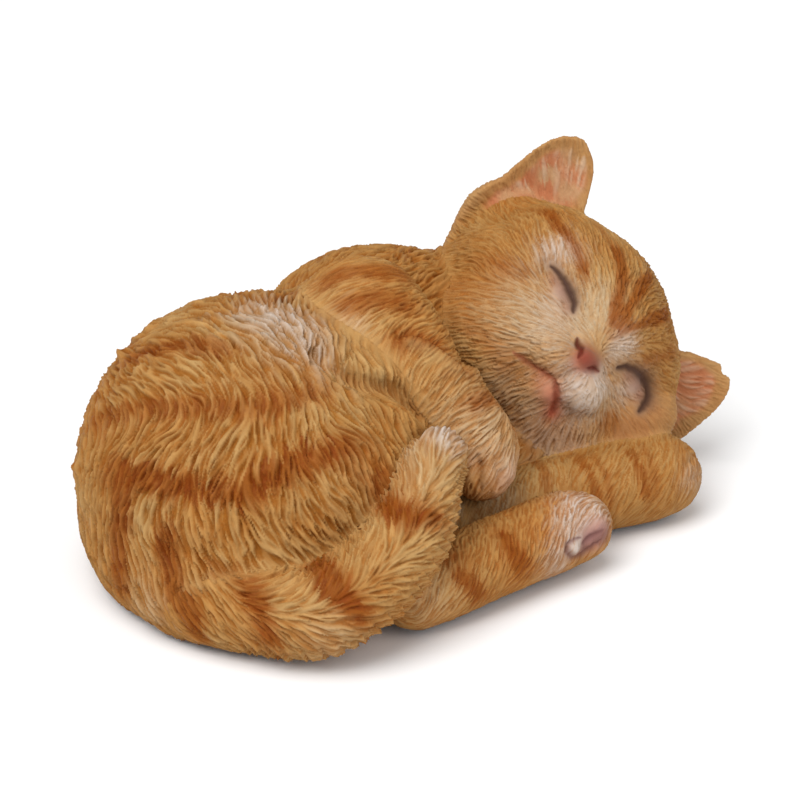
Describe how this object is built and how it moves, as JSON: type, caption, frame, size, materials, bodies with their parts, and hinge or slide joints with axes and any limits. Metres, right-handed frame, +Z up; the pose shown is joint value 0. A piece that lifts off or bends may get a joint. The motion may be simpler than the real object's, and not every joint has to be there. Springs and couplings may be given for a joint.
{
  "type": "sleeping kitten figurine",
  "caption": "Free-standing painted resin ornament of a ginger tabby kitten curled up asleep, head on its forelegs, with a flat padded underside.",
  "frame": {"origin": "centre of the bounding box at the table top the felt pads rest on", "axes": "+X runs from the rump to the head, +Z up, +Y towards the back of the curled figure"},
  "size_m": [0.172, 0.1076, 0.0864],
  "materials": {
    "painted_resin": "hand-painted ginger tabby resin, satin",
    "painted_resin_head": "hand-painted ginger resin with cream muzzle, satin",
    "painted_resin_light": "hand-painted light ginger resin with white toes, satin",
    "base_resin": "dark brown painted resin, matt",
    "dowel_steel": "plain drawn steel",
    "felt": "pressed brown felt"
  },
  "bodies": {
    "root": {"body_shell": "painted_resin", "head": "painted_resin_head", "upper_foreleg": "painted_resin", "lower_foreleg": "painted_resin", "hind_foot": "painted_resin_light", "tail": "painted_resin", "base_plate": "base_resin", "head_dowel": "dowel_steel", "upper_foreleg_dowel": "dowel_steel", "lower_foreleg_dowel": "dowel_steel", "hind_foot_dowel": "dowel_steel", "tail_dowel": "dowel_steel", "felt_pad_1": "felt", "felt_pad_2": "felt", "felt_pad_3": "felt", "felt_pad_4": "felt"}
  },
  "joints": []
}
